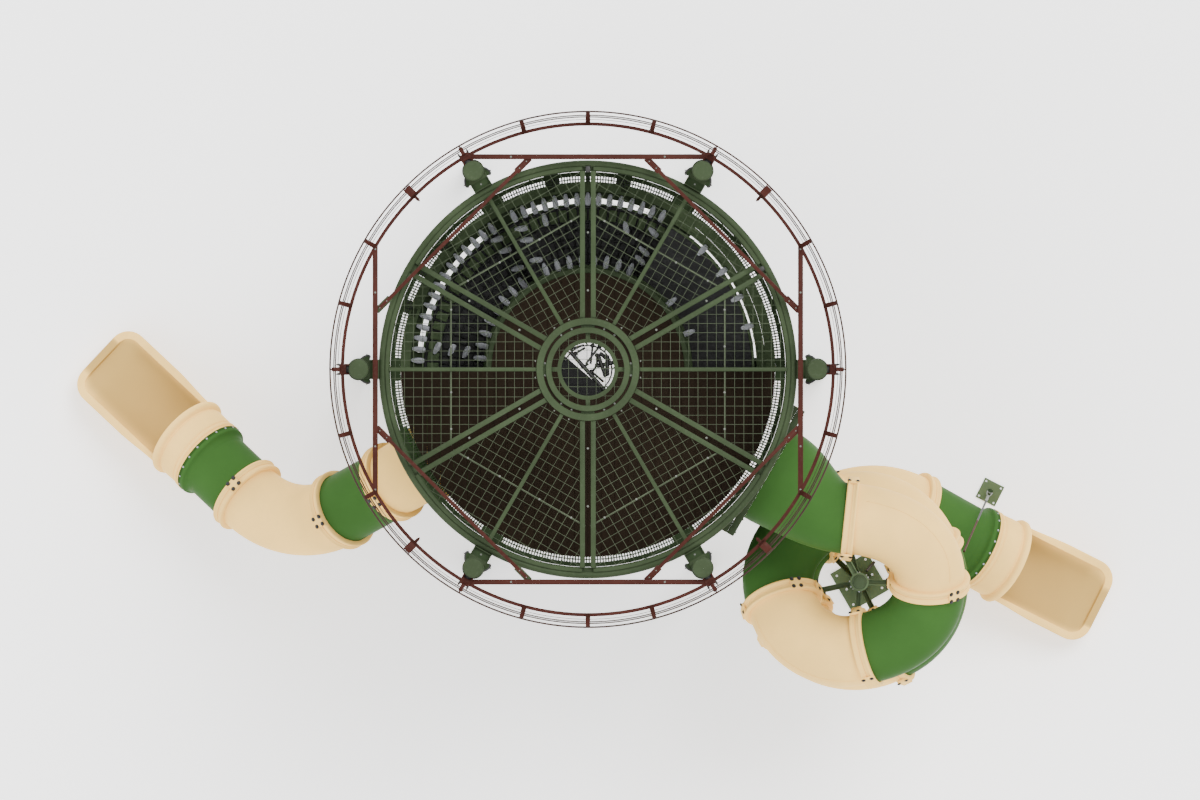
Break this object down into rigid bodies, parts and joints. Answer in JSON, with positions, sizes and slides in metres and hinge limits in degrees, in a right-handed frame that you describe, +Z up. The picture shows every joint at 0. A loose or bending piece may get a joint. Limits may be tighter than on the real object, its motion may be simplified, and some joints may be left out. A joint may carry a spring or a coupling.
{
  "type": "playground tower",
  "caption": "Round playground tower on tall columns: climbing nets inside, open mesh roof, a helical tube slide and a shorter tube slide, both with open exit chutes",
  "frame": {"origin": "centre of the bounding box at ground level", "axes": "+X along the long way from the lower slide's exit towards the helical slide's exit, +Y away from the slides in plan, +Z up"},
  "size_m": [11.291, 6.3196, 7.1461],
  "materials": {
    "sage_green": "powder-coated, slightly dusty",
    "rust_red": "powder-coated, matt",
    "deck_brown": "dark grooved deck boards",
    "rope_black": "black rope and rubber membrane",
    "slide_green": "moulded, weathered gloss",
    "slide_beige": "moulded, weathered gloss"
  },
  "bodies": {
    "root": {"climbing_net_1": "rope_black", "climbing_net_2": "rope_black", "column_1": "sage_green", "column_2": "sage_green", "column_3": "sage_green", "column_4": "sage_green", "column_5": "sage_green", "column_6": "sage_green", "core_net": "rope_black", "core_rim": "sage_green", "diagonal_bar_ne": "rust_red", "diagonal_bar_nw": "rust_red", "diagonal_bar_se": "rust_red", "diagonal_bar_sw": "rust_red", "guide_ring": "rust_red", "lower_deck": "deck_brown", "lower_ring_beam": "sage_green", "lower_slide_1": "slide_green", "lower_slide_2": "slide_beige", "lower_slide_3": "slide_green", "lower_slide_4": "slide_beige", "lower_slide_5": "slide_green", "lower_slide_6": "slide_beige", "port_panel": "sage_green", "ramp_membrane": "rope_black", "roof_hub": "sage_green", "roof_rim": "sage_green", "roof_sector_1": "sage_green", "roof_sector_2": "sage_green", "roof_sector_3": "sage_green", "roof_sector_4": "sage_green", "roof_sector_5": "sage_green", "roof_sector_6": "sage_green", "side_bar_east": "rust_red", "side_bar_north": "rust_red", "side_bar_south": "rust_red", "side_bar_west": "rust_red", "slide_post": "sage_green", "slide_strut": "sage_green", "upper_deck": "deck_brown", "upper_ring_beam": "sage_green", "upper_slide_01": "slide_green", "upper_slide_02": "slide_beige", "upper_slide_03": "slide_green", "upper_slide_04": "slide_beige", "upper_slide_05": "slide_green", "upper_slide_06": "slide_beige", "upper_slide_07": "slide_green", "upper_slide_08": "slide_beige", "upper_slide_09": "slide_green", "upper_slide_10": "slide_beige", "upper_slide_11": "slide_green", "upper_slide_12": "slide_beige", "wall_1": "sage_green", "wall_2": "sage_green", "wall_3": "sage_green", "wall_4": "sage_green", "wall_5": "sage_green", "wall_6": "sage_green"}
  },
  "joints": []
}
